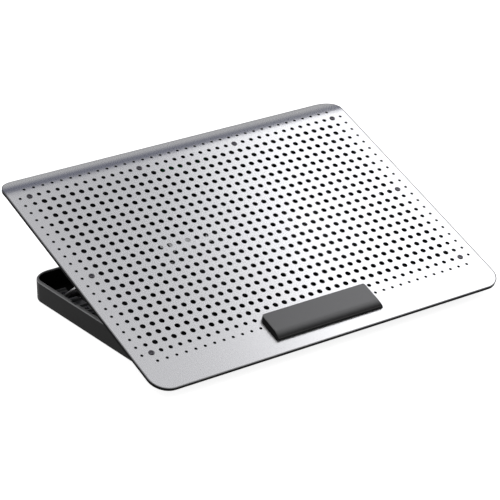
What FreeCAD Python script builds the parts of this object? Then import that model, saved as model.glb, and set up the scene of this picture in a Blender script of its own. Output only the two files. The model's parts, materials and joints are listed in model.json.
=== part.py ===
import FreeCAD, Part
import os
from math import sin, cos, tan, radians, pi, sqrt

os.makedirs("parts", exist_ok=True)
V = FreeCAD.Vector

# ---------------------------------------------------------------- driving dimensions (mm, degrees)
PAD_HALF_W = 190.0          # perforated sheet, half width
TILT = 22.2145              # deck angle at rest
FRONT_H = 11.5              # height of the sheet's front top edge above the desk
SHEET_T = 0.6               # aluminium sheet
PLAN_R = 18.0               # plan corner radius of the sheet
BEND_Y, BEND_R, BEND_ANG = 259.5, 50.0, 29.0    # rolled rear edge: start, outer radius, angle
LIP_Y = BEND_Y + BEND_R * sin(radians(BEND_ANG))
PITCH_X, PITCH_Y = 9.75, 10.05                  # hole grid
COLS, ROW_LO, ROW_HI = 38, -1, 22
HOLE_L, HOLE_M, HOLE_S = 2.58, 2.03, 1.43       # hole radii: field, second ring, outer ring
FRAME_TOP, FRAME_BOT = -0.6, -3.1               # plastic deck frame
POD_X, POD_Y0, POD_Y1, POD_BOT, POD_WALL = 143.5, 43.5, 228.0, -20.3, 1.5
FAN_X, FAN_Y, FAN_SIDE = 66.0, 135.0, 120.0
FAN_TOP, FAN_BOT = -3.5, -18.5
FAN_BORE, BLADE_R, HUB_R = 57.5, 55.8, 19.0
FAN_HOLE = 52.5              # half the spacing of the fan's corner holes
POD_STEP_Z, POD_FOOT_X = -9.0, 131.0            # sides slope in below this height, to this half width
HINGE_Y, HINGE_Z = 34.1, -8.0                   # deck hinge, in the deck's own coordinates
HINGE_PIN_R = 2.0
LEG_X, LEG_Y, LEG_Z = 150.0, 154.5, -8.0        # leg pivots, deck coordinates
LEG_PIN_R = 1.5
FOOT_Y, FOOT_Z = 219.0, 8.8                     # centre of the foot bar at rest, desk coordinates
ROD_R, SLEEVE_R = 1.8, 2.4                      # leg rod, rubber sleeve on its foot bar
FOOT_IN = 134.5                                 # inner end of the foot bar, from the middle
TRAY_X, TRAY_Y0, TRAY_Y1 = 165.0, 26.0, 257.0
TRAY_WALL, TRAY_BOT, TRAY_RIM, FLOOR_T = 3.0, 1.5, 21.5, 2.0
FLOOR_Z = TRAY_BOT + FLOOR_T
HUB_X, HUB_Y0, HUB_Y1, HUB_BOT = 40.0, 238.0, 260.0, -20.9
BOARD_TOP, BOARD_T = -11.0, 1.6
RUN_FIT = 0.05                                  # radial running clearance

c, s = cos(radians(TILT)), sin(radians(TILT))
lip_z = -BEND_R + BEND_R * cos(radians(BEND_ANG))
CY = (LIP_Y * c - lip_z * s) / 2.0              # middle of the overall depth

DECK = FreeCAD.Placement(V(0, -CY, FRONT_H), FreeCAD.Rotation(V(1, 0, 0), TILT))
BASE = FreeCAD.Placement(V(0, -CY, 0), FreeCAD.Rotation())


# ---------------------------------------------------------------- helpers
def box(x0, x1, y0, y1, z0, z1):
    return Part.makeBox(x1 - x0, y1 - y0, z1 - z0, V(x0, y0, z0))


def cyl_x(x0, x1, y, z, r):
    return Part.makeCylinder(r, x1 - x0, V(x0, y, z), V(1, 0, 0))


def cyl_y(y0, y1, x, z, r):
    return Part.makeCylinder(r, y1 - y0, V(x, y0, z), V(0, 1, 0))


def cyl_z(z0, z1, x, y, r):
    return Part.makeCylinder(r, z1 - z0, V(x, y, z0), V(0, 0, 1))


def rounded_wire(x0, x1, y0, y1, rf, rr, z=0.0):
    """Closed outline, front corner radius rf, rear corner radius rr."""
    k = sqrt(0.5)
    e = []

    def line(a, b):
        if a.distanceToPoint(b) > 1e-6:
            e.append(Part.LineSegment(a, b).toShape())

    def arc(a, m, b):
        e.append(Part.Arc(a, m, b).toShape())

    line(V(x0 + rf, y0, z), V(x1 - rf, y0, z))
    if rf > 0:
        arc(V(x1 - rf, y0, z), V(x1 - rf + rf * k, y0 + rf - rf * k, z), V(x1, y0 + rf, z))
    line(V(x1, y0 + rf, z), V(x1, y1 - rr, z))
    if rr > 0:
        arc(V(x1, y1 - rr, z), V(x1 - rr + rr * k, y1 - rr + rr * k, z), V(x1 - rr, y1, z))
    line(V(x1 - rr, y1, z), V(x0 + rr, y1, z))
    if rr > 0:
        arc(V(x0 + rr, y1, z), V(x0 + rr - rr * k, y1 - rr + rr * k, z), V(x0, y1 - rr, z))
    line(V(x0, y1 - rr, z), V(x0, y0 + rf, z))
    if rf > 0:
        arc(V(x0, y0 + rf, z), V(x0 + rf - rf * k, y0 + rf - rf * k, z), V(x0 + rf, y0, z))
    return Part.Wire(e)


def circle_wire(x, y, r, z=0.0):
    return Part.Wire([Part.Circle(V(x, y, z), V(0, 0, 1), r).toShape()])


def plate(outer, holes, z0, z1):
    """Flat plate between z0 and z1 from an outline and hole outlines drawn at z = 0."""
    if holes:
        f = Part.makeFace([outer] + holes, "Part::FaceMakerBullseye")
    else:
        f = Part.Face(outer)
    p = f.extrude(V(0, 0, z1 - z0))
    p.translate(V(0, 0, z0))
    return p


def prism_x(pts, x0, x1):
    """Polygon of (y, z) points, extruded along X."""
    w = Part.makePolygon([V(x0, y, z) for y, z in pts] + [V(x0, pts[0][0], pts[0][1])])
    return Part.Face(w).extrude(V(x1 - x0, 0, 0))


def fuse(shapes):
    out = shapes[0].fuse(shapes[1:]) if len(shapes) > 1 else shapes[0]
    return out.removeSplitter()


def cut(a, tools):
    return a.cut(Part.makeCompound(tools)) if len(tools) > 1 else a.cut(tools[0])


def screw_z(x, y, seat, head_r, head_h, shank_r, shank_l, up=1, recess=True):
    """Cross-head screw on a Z axis. The head sits on 'seat' and points to +Z (up=1) or -Z (up=-1)."""
    d = V(0, 0, up)
    base = V(x, y, seat)
    head = Part.makeCylinder(head_r, head_h * 0.55, base, d)
    crown = Part.makeCone(head_r, head_r * 0.78, head_h * 0.45, V(x, y, seat + up * head_h * 0.55), d)
    shank = Part.makeCylinder(shank_r, shank_l, V(x, y, seat), V(0, 0, -up))
    body = head.fuse([crown, shank])
    if recess:
        w, l, dep = head_r * 0.30, head_r * 1.25, head_h * 0.6
        zt = seat + up * head_h
        z0, z1 = (zt - dep, zt + 1) if up > 0 else (zt - 1, zt + dep)
        body = body.cut([box(x - l / 2, x + l / 2, y - w / 2, y + w / 2, z0, z1),
                         box(x - w / 2, x + w / 2, y - l / 2, y + l / 2, z0, z1)])
    return body.removeSplitter()


def save(name, shape, place):
    sh = shape.copy()
    if isinstance(sh, (list, tuple)):
        sh = Part.makeCompound(sh)
    sh.Placement = place.multiply(sh.Placement)
    assert sh.isValid(), name
    assert all(so.Volume > 0 for so in sh.Solids) and sh.Solids, name
    sh.exportStep("parts/%s.step" % name)
    b = sh.BoundBox
    print("%-18s solids %2d vol %10.1f  X %.2f..%.2f  Y %.2f..%.2f  Z %.2f..%.2f"
          % (name, len(sh.Solids), sh.Volume, b.XMin, b.XMax, b.YMin, b.YMax, b.ZMin, b.ZMax))


def group(shapes):
    return Part.makeCompound(shapes)


def hole_x(u):
    return (u - (COLS - 1) / 2.0) * PITCH_X


def hole_y(v):
    return (25.3 - v) * PITCH_Y


# ---------------------------------------------------------------- perforated sheet
PANEL_SCREWS = [(1, 0), (13, 0), (24, 0), (36, 0), (1, 11), (36, 11), (1, 21), (36, 21)]
STOP_X, STOP_Y0, STOP_Y1, STOP_H = 58.75, 14.5, 44.0, 4.75
SKIRT_H, CAP_T = 2.2, 0.8        # black skirt showing below the cap, cap thickness
STOP_SCREW = [(-40.0, 30.0), (40.0, 30.0)]

holes = []
rear_holes = []             # outermost row, punched where the sheet has begun to curve
n_holes = 0
for v in range(ROW_LO, ROW_HI + 1):
    for u in range(COLS):
        corner = u in (0, COLS - 1) and v in (ROW_LO, ROW_HI)
        under_bar = v >= 21 and 13 <= u <= 24
        if corner or under_bar or (u, v) in PANEL_SCREWS:
            continue
        ring = min(u, COLS - 1 - u, v - ROW_LO, ROW_HI - v)
        r = HOLE_S if ring == 0 else HOLE_M if ring == 1 else HOLE_L
        if hole_y(v) > BEND_Y - 3.0:
            ang = (hole_y(v) - BEND_Y) / BEND_R
            n0 = V(0, sin(ang), cos(ang))
            foot = V(hole_x(u), BEND_Y + BEND_R * sin(ang), -BEND_R + BEND_R * cos(ang)) - n0 * 2.0
            rear_holes.append(Part.makeCylinder(r, 4.0, foot, n0))
        else:
            holes.append(circle_wire(hole_x(u), hole_y(v), r))
        n_holes += 1
for u, v in PANEL_SCREWS:
    holes.append(circle_wire(hole_x(u), hole_y(v), 1.4))
for x, y in STOP_SCREW:
    holes.append(circle_wire(x, y, 1.4))

flat = plate(rounded_wire(-PAD_HALF_W, PAD_HALF_W, 0.0, BEND_Y, PLAN_R, 0.0), holes, -SHEET_T, 0.0)

# rolled rear edge: quarter-round section swept along X, plan corners rounded
a = radians(BEND_ANG)
ri = BEND_R - SHEET_T


def on_bend(r, ang):
    return V(-PAD_HALF_W, BEND_Y + r * sin(ang), -BEND_R + r * cos(ang))


sec = Part.Wire([Part.Arc(on_bend(BEND_R, 0), on_bend(BEND_R, a / 2), on_bend(BEND_R, a)).toShape(),
                 Part.LineSegment(on_bend(BEND_R, a), on_bend(ri, a)).toShape(),
                 Part.Arc(on_bend(ri, a), on_bend(ri, a / 2), on_bend(ri, 0)).toShape(),
                 Part.LineSegment(on_bend(ri, 0), on_bend(BEND_R, 0)).toShape()])
roll = Part.Face(sec).extrude(V(2 * PAD_HALF_W, 0, 0))
plan = plate(rounded_wire(-PAD_HALF_W, PAD_HALF_W, 200.0, LIP_Y + 0.001, 0.0, PLAN_R), [], -30, 5)
roll = roll.common(plan).cut(Part.makeCompound(rear_holes))
top_panel = flat.fuse(roll)
print("holes in the sheet:", n_holes)
save("top_panel", top_panel, DECK)

panel_screws = [screw_z(hole_x(u), hole_y(v), 0.0, 2.75, 0.7, 1.25, 3.0) for u, v in PANEL_SCREWS]
save("panel_screws", group(panel_screws), DECK)

# ---------------------------------------------------------------- stopper bar
# section: low nose, long convex slope up to a flat top, square rear edge
p = [V(0, STOP_Y0, 0), V(0, STOP_Y0, SKIRT_H)]
nose = Part.BSplineCurve()
nose.interpolate(Points=[V(0, STOP_Y0, SKIRT_H), V(0, STOP_Y0 + 1.1, 3.3), V(0, STOP_Y0 + 3.2, 4.05), V(0, STOP_Y0 + 6.4, 4.55), V(0, STOP_Y0 + 10.5, STOP_H)],
                 InitialTangent=V(0, 0.25, 1.0), FinalTangent=V(0, 1.0, 0.0))
q = [V(0, STOP_Y0 + 10.5, STOP_H), V(0, STOP_Y1 - 0.8, STOP_H)]
back = Part.Arc(V(0, STOP_Y1 - 0.8, STOP_H), V(0, STOP_Y1 - 0.8 + 0.8 * sqrt(0.5), STOP_H - 0.8 + 0.8 * sqrt(0.5)), V(0, STOP_Y1, STOP_H - 0.8))
sec = Part.Wire([Part.LineSegment(p[0], p[1]).toShape(), nose.toShape(), Part.LineSegment(q[0], q[1]).toShape(), back.toShape(),
                 Part.LineSegment(V(0, STOP_Y1, STOP_H - 0.8), V(0, STOP_Y1, 0)).toShape(),
                 Part.LineSegment(V(0, STOP_Y1, 0), V(0, STOP_Y0, 0)).toShape()])
bar = Part.Face(sec).extrude(V(2 * STOP_X, 0, 0))
bar.translate(V(-STOP_X, 0, 0))
# sloping ends that flare out to the foot of the nose
end = []
for sx in (-1, 1):
    w = Part.makePolygon([V(sx * 70, 0, 6), V(sx * 55.6, 0, 6), V(sx * 56.3, 0, STOP_H), V(sx * 57.6, 0, 1.6), V(sx * 58.75, 0, 0.0), V(sx * 70, 0, 0.0), V(sx * 70, 0, 6)])
    end.append(Part.Face(w).extrude(V(0, 60, 0)))
    # rear corners clipped in plan
    w = Part.makePolygon([V(sx * 70, STOP_Y1 + 2, 0), V(sx * 53.5, STOP_Y1 + 2, 0), V(sx * 55.0, STOP_Y1, 0), V(sx * 58.75, STOP_Y1 - 6.5, 0), V(sx * 70, STOP_Y1 - 6.5, 0), V(sx * 70, STOP_Y1 + 2, 0)])
    end.append(Part.Face(w).extrude(V(0, 0, 6)))
bar = bar.cut(end)
bar = bar.cut([cyl_z(0, 3.2, x, y, 1.25) for x, y in STOP_SCREW])
# the cap covers the top and the nose; everything under it is the black body
under = Part.Face(sec).extrude(V(2 * STOP_X + 4, 0, 0))
under.translate(V(-STOP_X - 2, CAP_T, -CAP_T))
under = under.fuse(box(-STOP_X - 2, STOP_X + 2, STOP_Y1 - 2, STOP_Y1 + 2, -1, STOP_H - CAP_T))
under = under.fuse(box(-STOP_X - 2, STOP_X + 2, STOP_Y0 - 2, STOP_Y1 + 2, -1, SKIRT_H))
cap = bar.cut(under)
body = bar.cut(cap)
save("stopper_bar", body.removeSplitter(), DECK)
save("stopper_cap", cap.removeSplitter(), DECK)
# screws from below, heads under the frame plate
save("stopper_screws", group([screw_z(x, y, FRAME_BOT, 2.6, 1.2, 1.2, 3.1 + 3.0, up=-1) for x, y in STOP_SCREW]), DECK)

# ---------------------------------------------------------------- plastic deck frame
WIN_X, WIN_Y0, WIN_Y1 = 141.0, 46.0, 225.0
frame_holes = [rounded_wire(-WIN_X, WIN_X, WIN_Y0, WIN_Y1, 4, 4)]
frame_holes.append(rounded_wire(-37.0, 24.5, 240.0, 256.5, 1.5, 1.5))
for u, v in PANEL_SCREWS:
    frame_holes.append(circle_wire(hole_x(u), hole_y(v), 1.3))
for x, y in STOP_SCREW:
    frame_holes.append(circle_wire(x, y, 1.3))
TABS = [(x, y) for y in (POD_Y0 - 4.0, POD_Y1 + 4.0) for x in (-112.0, 0.0, 112.0)]
HUB_TABS = [(-44.5, 249.0), (44.5, 249.0)]
BRK_SCREW = [(sx * LEG_X, y) for sx in (-1, 1) for y in (139.5, 145.6)]
for x, y in TABS + HUB_TABS + BRK_SCREW:
    frame_holes.append(circle_wire(x, y, 1.3))
frame = plate(rounded_wire(-PAD_HALF_W + 0.1, PAD_HALF_W - 0.1, 0.1, BEND_Y, PLAN_R - 0.1, 0.0), frame_holes, FRAME_BOT, FRAME_TOP)
# rear strip bent to the same curve as the sheet
w = Part.makePolygon([V(-PAD_HALF_W + 0.1, BEND_Y, FRAME_BOT), V(PAD_HALF_W - 0.1, BEND_Y, FRAME_BOT),
                      V(PAD_HALF_W - 0.1, BEND_Y, FRAME_TOP), V(-PAD_HALF_W + 0.1, BEND_Y, FRAME_TOP), V(-PAD_HALF_W + 0.1, BEND_Y, FRAME_BOT)])
strip = Part.Face(w).revolve(V(0, BEND_Y, -BEND_R), V(1, 0, 0), -(BEND_ANG - 4.0))
strip = strip.common(plate(rounded_wire(-PAD_HALF_W + 0.1, PAD_HALF_W - 0.1, 100.0, LIP_Y - 0.3, 0.0, PLAN_R), [], -30, 5))
save("rear_strip", strip.removeSplitter(), DECK)
lugs = []
for sx in (-1, 1):
    x0 = sx * 150.0 - 3.6
    neck = prism_x([(HINGE_Y - 4.4, FRAME_BOT), (HINGE_Y - 4.4, HINGE_Z), (HINGE_Y + 4.4, HINGE_Z), (HINGE_Y + 4.4, FRAME_BOT)], x0, x0 + 7.2)
    lug = neck.fuse(cyl_x(x0, x0 + 7.2, HINGE_Y, HINGE_Z, 4.4))
    lugs.append(lug)
# stiffening ribs under the side borders
ribs = [box(sx * 178 - 0.8, sx * 178 + 0.8, 40, 246, FRAME_BOT - 2.4, FRAME_BOT) for sx in (-1, 1)]
ribs += [box(-128, 128, 16.0, 17.6, FRAME_BOT - 2.0, FRAME_BOT)]
frame = frame.fuse(lugs + ribs)
frame = frame.cut([cyl_x(-170, 170, HINGE_Y, HINGE_Z, HINGE_PIN_R + RUN_FIT)])
save("deck_frame", frame.removeSplitter(), DECK)

# ---------------------------------------------------------------- fan cover (slatted pan)
def prism_y(pts, y0, y1):
    """Polygon of (x, z) points, extruded along Y."""
    w = Part.makePolygon([V(x, y0, z) for x, z in pts] + [V(pts[0][0], y0, pts[0][1])])
    return Part.Face(w).extrude(V(0, y1 - y0, 0))


def pod_section(inset, top, bottom):
    """Half widths down the side of the pan: upright, then sloping in."""
    run = sqrt((POD_X - POD_FOOT_X) ** 2 + (POD_BOT - POD_STEP_Z) ** 2)
    nx, nz = (POD_STEP_Z - POD_BOT) / run, (POD_X - POD_FOOT_X) / run      # inward normal of the slope
    slope = (POD_BOT - POD_STEP_Z) / (POD_X - POD_FOOT_X)
    px, pz = POD_X - nx * inset, POD_STEP_Z + nz * inset
    x_top = POD_X - inset
    z_knee = pz + (px - x_top) * slope
    x_bot = px - (bottom - pz) / slope
    return [(x_top, top), (x_top, z_knee), (x_bot, bottom), (-x_bot, bottom), (-x_top, z_knee), (-x_top, top)]


outer = prism_y(pod_section(0.0, FRAME_BOT, POD_BOT), POD_Y0, POD_Y1)
outer = outer.common(plate(rounded_wire(-POD_X, POD_X, POD_Y0, POD_Y1, 6, 6), [], POD_BOT - 1, FRAME_BOT + 1))
inner = prism_y(pod_section(POD_WALL, FRAME_BOT + 1, POD_BOT + 1.6), POD_Y0 + POD_WALL, POD_Y1 - POD_WALL)
inner = inner.common(plate(rounded_wire(-POD_X + POD_WALL, POD_X - POD_WALL, POD_Y0 + POD_WALL, POD_Y1 - POD_WALL, 4.5, 4.5), [], POD_BOT, FRAME_BOT + 2))
tools = [inner]
slot_f = []
for i in range(13):
    for sx in (-1, 1):
        x = sx * (FAN_X + 9.0 * (i - 6))
        dx = abs(9.0 * (i - 6))
        half = min(sqrt(max(55.5 ** 2 - dx ** 2, 0)), 44.0)
        for y0, y1 in ((FAN_Y - half, FAN_Y - 4.0), (FAN_Y + 4.0, FAN_Y + half)):
            if y1 - y0 > 10:
                slot_f.append(plate(rounded_wire(x - 3.0, x + 3.0, y0, y1, 2.8, 2.8), [], POD_BOT - 1, POD_BOT + 2))
tools += slot_f
FSC = [(sx * FAN_X + ax * FAN_HOLE, FAN_Y + ay * FAN_HOLE) for sx in (-1, 1) for ax in (-1, 1) for ay in (-1, 1)]
for x, y in FSC:
    tools += [cyl_z(POD_BOT - 1, POD_BOT + 3, x, y, 2.1), cyl_z(POD_BOT - 1, POD_BOT + 0.95, x, y, 3.9)]
# notches for the two fan leads in the rear wall
for sx in (-1, 1):
    tools.append(box(sx * 26.0 - 2.0, sx * 26.0 + 2.0, POD_Y1 - 3, POD_Y1 + 1, -11.0, FRAME_BOT + 1))
tabs = []
for x, y in TABS:
    yy = POD_Y0 + 0.5 if y < 100 else POD_Y1 - 0.5
    lo, hi = min(y, yy), max(y, yy)
    tabs.append(cyl_z(FRAME_BOT - 2.0, FRAME_BOT, x, y, 4.0).fuse(box(x - 4, x + 4, lo, hi, FRAME_BOT - 2.0, FRAME_BOT)))
cover = outer.cut(tools)
cover = cover.fuse(tabs)
cover = cover.cut([inner] + [cyl_z(FRAME_BOT - 3, FRAME_BOT + 1, x, y, 1.5) for x, y in TABS])
save("fan_cover", cover.removeSplitter(), DECK)
save("cover_screws", group([screw_z(x, y, FRAME_BOT - 2.0, 2.7, 1.3, 1.2, 3.7, up=-1) for x, y in TABS]), DECK)


# ---------------------------------------------------------------- fans
def fan_parts(cx):
    h = FAN_SIDE / 2.0
    fr = plate(rounded_wire(cx - h, cx + h, FAN_Y - h, FAN_Y + h, 6, 6), [circle_wire(cx, FAN_Y, FAN_BORE)], FAN_BOT, FAN_TOP)
    # waist between the two flanges, outside the bore, at the corners
    for ax in (-1, 1):
        for ay in (-1, 1):
            x, y = cx + ax * FAN_HOLE, FAN_Y + ay * FAN_HOLE
            fr = fr.cut([cyl_z(FAN_BOT - 1, FAN_TOP + 1, x, y, 2.2),
                         box(min(x - ax * 2, x + ax * 9), max(x - ax * 2, x + ax * 9), min(y - ay * 2, y + ay * 9), max(y - ay * 2, y + ay * 9), FAN_BOT + 3.2, FAN_TOP - 3.2)])
    # lead slot in the rear side
    sx = -1 if cx < 0 else 1
    lx = sx * 40.0
    fr = fr.cut([cyl_y(FAN_Y + h - 2.0, FAN_Y + h + 1, lx, -9.0, 1.3)])
    # stator: four struts, base disc, bearing tube and wound core
    st = [cyl_z(FAN_BOT, FAN_BOT + 1.5, cx, FAN_Y, HUB_R - 0.5)]
    for k in range(4):
        b = box(HUB_R - 1.5, FAN_BORE, -1.8, 1.8, FAN_BOT, FAN_BOT + 1.5)
        b.rotate(V(0, 0, 0), V(0, 0, 1), 45 + 90 * k)
        b.translate(V(cx, FAN_Y, 0))
        st.append(b)
    st.append(cyl_z(FAN_BOT + 1.5, -7.5, cx, FAN_Y, 4.0))
    core = cyl_z(-15.0, -9.0, cx, FAN_Y, 7.0)
    st.append(core)
    for k in range(4):
        arm = box(6.0, 12.6, -2.4, 2.4, -14.5, -9.5)
        shoe = Part.makeCylinder(13.2, 5.0, V(0, 0, -14.5), V(0, 0, 1), 62).cut(cyl_z(-16, -8, 0, 0, 11.4))
        shoe.rotate(V(0, 0, 0), V(0, 0, 1), -31)
        arm = arm.fuse(shoe)
        arm.rotate(V(0, 0, 0), V(0, 0, 1), 90 * k)
        arm.translate(V(cx, FAN_Y, 0))
        st.append(arm)
    stator = st[0].fuse(st[1:])
    stator = stator.cut(cyl_z(FAN_BOT + 0.9, -5, cx, FAN_Y, 1.5 + RUN_FIT))
    stator = stator.common(cyl_z(FAN_BOT, FAN_TOP, cx, FAN_Y, FAN_BORE - 0.02))
    # rotor: cup and nine twisted blades
    cup = cyl_z(-16.3, -4.6, cx, FAN_Y, HUB_R).cut(cyl_z(-17, -6.0, cx, FAN_Y, HUB_R - 1.2))
    cup = cup.fuse(cyl_z(-7.0, -6.0, cx, FAN_Y, 3.6).cut(cyl_z(-8, -5.9, cx, FAN_Y, 1.5)))
    cup = cup.cut(cyl_z(-8.0, -5.2, cx, FAN_Y, 1.5))
    blades = []
    n = 9
    for k in range(n):
        def station(r, w, sweep, top, bot):
            er = V(cos(radians(sweep)), sin(radians(sweep)), 0)
            et = V(-sin(radians(sweep)), cos(radians(sweep)), 0)
            pts = [er * r + et * (-w / 2.0) + V(0, 0, bot), er * r + et * (w / 2.0) + V(0, 0, top),
                   er * r + et * (w / 2.0 + 0.9) + V(0, 0, top - 0.9), er * r + et * (-w / 2.0 + 0.9) + V(0, 0, bot - 0.9)]
            return Part.makePolygon(pts + [pts[0]])
        # one thin slanted section per station, joined by straight lofts
        stations = [station(17.9, 9.5, 0, -6.2, -14.4), station(31, 18, 9, -5.8, -14.8), station(45, 26, 20, -5.6, -15.0), station(57.5, 31, 32, -5.6, -15.0)]
        bl = Part.makeLoft(stations, True, True)
        if bl.Volume < 0:
            bl.reverse()
        bl.rotate(V(0, 0, 0), V(0, 0, 1), 360.0 / n * k)
        bl.translate(V(cx, FAN_Y, 0))
        blades.append(bl)
    ring = cyl_z(-17, -4, cx, FAN_Y, BLADE_R).cut(cyl_z(-18, -3, cx, FAN_Y, HUB_R - 0.6))
    blades = [b.common(ring) for b in blades]
    rotor = cup.fuse(blades)
    magnet = cyl_z(-15.2, -7.2, cx, FAN_Y, HUB_R - 1.2).cut(cyl_z(-16, -6, cx, FAN_Y, 13.8))
    shaft = cyl_z(FAN_BOT + 1.3, -5.2, cx, FAN_Y, 1.5)
    return fr.removeSplitter(), stator.removeSplitter(), rotor.removeSplitter(), magnet, shaft


for side, cx in (("left", -FAN_X), ("right", FAN_X)):
    fr, st, ro, mg, sh = fan_parts(cx)
    save("fan_%s_frame" % side, fr, DECK)
    save("fan_%s_stator" % side, st, DECK)
    save("fan_%s_rotor" % side, ro, DECK)
    save("fan_%s_magnet" % side, mg, DECK)
    save("fan_%s_shaft" % side, sh, DECK)
save("fan_screws", group([screw_z(x, y, POD_BOT + 0.95, 3.4, 0.85, 2.0, 3.2, up=-1) for x, y in FSC]), DECK)

# ---------------------------------------------------------------- socket box at the rear centre
SOCK_X = (-26.0, 0.0)
SOCK_Z = BOARD_TOP - BOARD_T - 3.6              # socket centre height
SW_X, SW_Z = 31.0, -13.5
hub_o = plate(rounded_wire(-HUB_X, HUB_X, HUB_Y0, HUB_Y1, 2, 2), [], HUB_BOT, FRAME_BOT)
hub_i = plate(rounded_wire(-HUB_X + 1.5, HUB_X - 1.5, HUB_Y0 + 1.5, HUB_Y1 - 1.5, 0.8, 0.8), [], HUB_BOT + 1.2, FRAME_BOT + 1)
hub = hub_o.cut([hub_i] + [box(x - 7.3, x + 7.3, HUB_Y1 - 3, HUB_Y1 + 1, SOCK_Z - 3.65, SOCK_Z + 3.65) for x in SOCK_X]
                + [box(SW_X - 4.2, SW_X + 4.2, HUB_Y1 - 3, HUB_Y1 + 1, SW_Z - 1.6, SW_Z + 1.6)]
                + [box(x - 2.0, x + 2.0, HUB_Y0 - 1, HUB_Y0 + 2, -11.0 + 0.0, FRAME_BOT + 1) for x in (-26.0, 16.0)])
tabs = []
for x, y in HUB_TABS:
    x1 = (-HUB_X + 0.5) if x < 0 else (HUB_X - 0.5)
    tabs.append(cyl_z(FRAME_BOT - 2.0, FRAME_BOT, x, y, 3.8).fuse(box(min(x, x1), max(x, x1), y - 3.8, y + 3.8, FRAME_BOT - 2.0, FRAME_BOT)))
# posts that carry the board
posts = [cyl_z(HUB_BOT + 0.6, BOARD_TOP - BOARD_T, x, y, 1.8) for x, y in ((-34.2, 241.6), (21.2, 241.6))]
hub = hub.fuse(tabs + posts)
hub = hub.cut([cyl_z(FRAME_BOT - 3, FRAME_BOT + 1, x, y, 1.5) for x, y in HUB_TABS]
              + [box(-HUB_X + 1.5, HUB_X - 1.5, HUB_Y0 + 1.5, HUB_Y1 - 1.5, FRAME_BOT - 2.5, FRAME_BOT + 1)])
save("hub_housing", hub.removeSplitter(), DECK)
save("hub_screws", group([screw_z(x, y, FRAME_BOT - 2.0, 2.7, 1.3, 1.2, 3.7, up=-1) for x, y in HUB_TABS]), DECK)

board = plate(rounded_wire(-36.0, 23.2, 240.0, 258.2, 0.8, 0.8), [circle_wire(18.0, 255.0, 1.1), circle_wire(-13.0, 242.5, 1.1)], BOARD_TOP - BOARD_T, BOARD_TOP)
save("hub_board", board, DECK)
chips = [box(-16.5, -9.5, 247.0, 252.0, BOARD_TOP, BOARD_TOP + 1.2), box(5.0, 9.0, 246.0, 251.0, BOARD_TOP, BOARD_TOP + 1.6),
         cyl_z(BOARD_TOP, BOARD_TOP + 5.5, 0.0, 250.0, 2.5), cyl_z(BOARD_TOP, BOARD_TOP + 5.5, -31.5, 253.0, 2.5),
         box(-21.5, -19.0, 254.0, 255.4, BOARD_TOP, BOARD_TOP + 0.7), box(11.5, 14.0, 254.0, 255.4, BOARD_TOP, BOARD_TOP + 0.7),
         box(-7.0, -4.5, 254.0, 255.4, BOARD_TOP, BOARD_TOP + 0.7)]
save("hub_chips", group(chips), DECK)

shells, tongues = [], []
for x in SOCK_X:
    sh = box(x - 7.15, x + 7.15, HUB_Y1 - 14.0, HUB_Y1 + 0.3, SOCK_Z - 3.5, SOCK_Z + 3.5)
    sh = sh.cut(box(x - 6.25, x + 6.25, HUB_Y1 - 13.4, HUB_Y1 + 1, SOCK_Z - 2.56, SOCK_Z + 2.56))
    shells.append(sh)
    tongues.append(fuse([box(x - 6.2, x + 6.2, HUB_Y1 - 13.4, HUB_Y1 - 11.6, SOCK_Z - 2.5, SOCK_Z + 2.5),
                         box(x - 5.55, x + 5.55, HUB_Y1 - 12.0, HUB_Y1 - 1.2, SOCK_Z + 0.35, SOCK_Z + 2.19)]))
save("usb_shells", group(shells), DECK)
save("usb_tongues", group(tongues), DECK)

sw = box(SW_X - 6.0, SW_X + 6.0, HUB_Y1 - 7.5, HUB_Y1 - 1.6, SW_Z - 2.6, SW_Z + 2.6)
sw = sw.cut(box(SW_X - 4.0, SW_X + 4.0, HUB_Y1 - 4.0, HUB_Y1 - 1, SW_Z - 1.4, SW_Z + 1.4))
save("switch_body", sw, DECK)
SW_TRAVEL = 3.0
k0 = SW_X - SW_TRAVEL / 2.0
knob = box(k0 - 2.0, k0 + 2.0, HUB_Y1 - 3.7, HUB_Y1 + 1.6, SW_Z - 1.2, SW_Z + 1.2)
knob = knob.cut([box(k0 + d - 0.2, k0 + d + 0.2, HUB_Y1 + 1.2, HUB_Y1 + 2, SW_Z - 1.3, SW_Z + 1.3) for d in (-0.9, 0.0, 0.9)])
save("switch_knob", knob, DECK)


# ---------------------------------------------------------------- fan leads (held cables)
def tube(points, r):
    """Round cable: straight runs joined by tangent arcs."""
    edges, radii, pos = [], [], points[0]
    for i in range(1, len(points) - 1):
        a0, b0, c0 = points[i - 1], points[i], points[i + 1]
        u = (b0 - a0).normalize()
        w = (c0 - b0).normalize()
        turn = u.getAngle(w)
        rad = 0.45 * min((b0 - a0).Length, (c0 - b0).Length) / tan(turn / 2.0)
        t = rad * tan(turn / 2.0)
        s0, s1 = b0 - u * t, b0 + w * t
        cen_dir = (w - u).normalize()
        mid = b0 + cen_dir * (rad / cos(turn / 2.0) - rad)
        if pos.distanceToPoint(s0) > 1e-6:
            edges.append(Part.LineSegment(pos, s0).toShape())
        edges.append(Part.Arc(s0, mid, s1).toShape())
        pos = s1
        radii.append(rad)
    edges.append(Part.LineSegment(pos, points[-1]).toShape())
    path = Part.Wire(edges)
    d = (points[1] - points[0]).normalize()
    prof = Part.Wire([Part.Circle(points[0], d, r).toShape()])
    solid = path.makePipeShell([prof], True, True)
    want = pi * r * r * path.Length
    print("cable radii", [round(x, 2) for x in radii], "volume / (section x length) = %.4f" % (solid.Volume / want))
    return solid


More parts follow.
